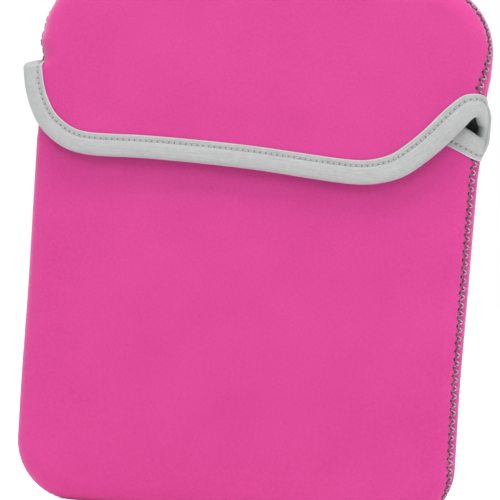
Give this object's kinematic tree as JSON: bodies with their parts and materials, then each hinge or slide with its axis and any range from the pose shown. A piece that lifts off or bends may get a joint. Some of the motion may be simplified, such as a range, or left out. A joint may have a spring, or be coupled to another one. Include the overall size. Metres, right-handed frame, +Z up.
{
  "type": "laptop sleeve",
  "caption": "Portrait neoprene laptop sleeve with rounded corners, a zigzag edge seam, and a hooded front mouth with a tape-bound overlapping flap.",
  "frame": {"origin": "under the middle of the sleeve's box, on the plane that its bottom seam rests on", "axes": "+Z up from the bottom seam to the hood, -Y out of the front with the flap, +X to the right seen from the front"},
  "size_m": [0.2404, 0.0278, 0.275],
  "materials": {
    "outer_jersey": "matt nylon jersey face, hot pink",
    "foam_core": "closed-cell foam rubber",
    "lining": "matt nylon jersey lining, charcoal",
    "binding": "ribbed woven tape, light grey",
    "seam_thread": "dark twisted polyester thread",
    "lock_thread": "grey twisted polyester thread"
  },
  "bodies": {
    "pocket": {"front_panel_outer_jersey": "outer_jersey", "front_panel_foam_core": "foam_core", "front_panel_lining": "lining", "back_panel_lower_outer_jersey": "outer_jersey", "back_panel_lower_foam_core": "foam_core", "back_panel_lower_lining": "lining", "front_lip_binding": "binding", "front_lip_binding_needle_thread": "lock_thread", "front_lip_binding_bobbin_thread": "lock_thread", "corner_loop_left_lower": "binding", "corner_loop_right_lower": "binding", "pocket_seam_outer_thread": "seam_thread", "pocket_seam_inner_thread": "seam_thread"},
    "hood": {"back_panel_upper_outer_jersey": "outer_jersey", "back_panel_upper_foam_core": "foam_core", "back_panel_upper_lining": "lining", "hood_panel_outer_jersey": "outer_jersey", "hood_panel_foam_core": "foam_core", "hood_panel_lining": "lining", "corner_loop_left_upper": "binding", "corner_loop_right_upper": "binding", "hood_seam_outer_thread": "seam_thread", "hood_seam_inner_thread": "seam_thread"},
    "flap": {"flap_outer_jersey": "outer_jersey", "flap_foam_core": "foam_core", "flap_lining": "lining", "flap_binding": "binding", "flap_binding_needle_thread": "lock_thread", "flap_binding_bobbin_thread": "lock_thread"}
  },
  "joints": [
    {"name": "hood_fold", "type": "hinge", "parent": "pocket", "child": "hood", "pos_m": [0, 0.0144, 0.2045], "axis": [-1, 0, 0], "range_deg": [0, 160]},
    {"name": "flap_fold", "type": "hinge", "parent": "hood", "child": "flap", "pos_m": [0, -0.0128, 0.22], "axis": [-1, 0, 0], "range_deg": [0, 165]}
  ]
}
